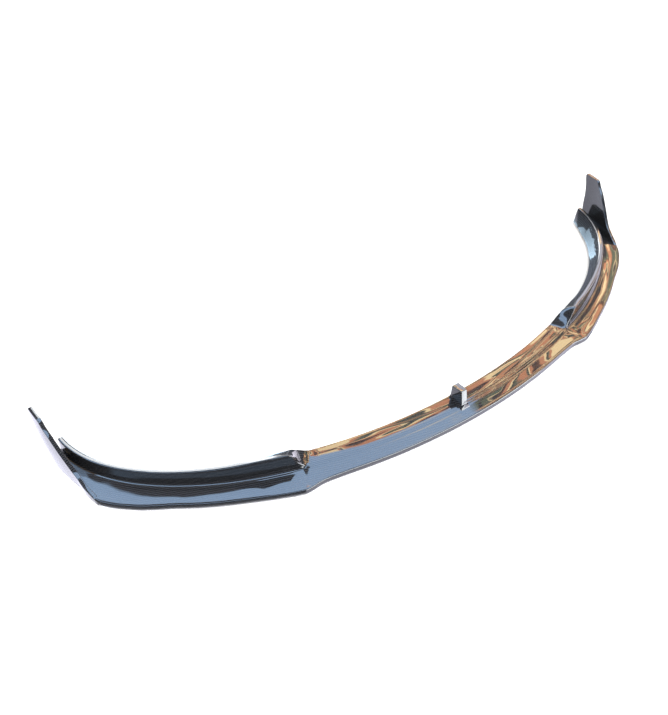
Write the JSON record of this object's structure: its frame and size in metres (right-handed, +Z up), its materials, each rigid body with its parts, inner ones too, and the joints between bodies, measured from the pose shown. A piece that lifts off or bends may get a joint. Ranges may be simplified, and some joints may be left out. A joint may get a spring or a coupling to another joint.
{
  "type": "front splitter lip",
  "caption": "One-piece front lip for a car's bumper, with a flat blade, raised side walls, a low middle ramp with a fin, and upright winglets at its ends.",
  "frame": {"origin": "centre of the lip's outline on the ground plane that it rests on", "axes": "+Z up, -Y towards the front of the car, +X to the viewer's right when the lip is seen from the front"},
  "size_m": [1.8898, 0.508, 0.172],
  "materials": {
    "carbon_laminate": "clear-coated twill carbon fibre, high gloss"
  },
  "bodies": {
    "root": {"splitter_lip": "carbon_laminate"}
  },
  "joints": []
}
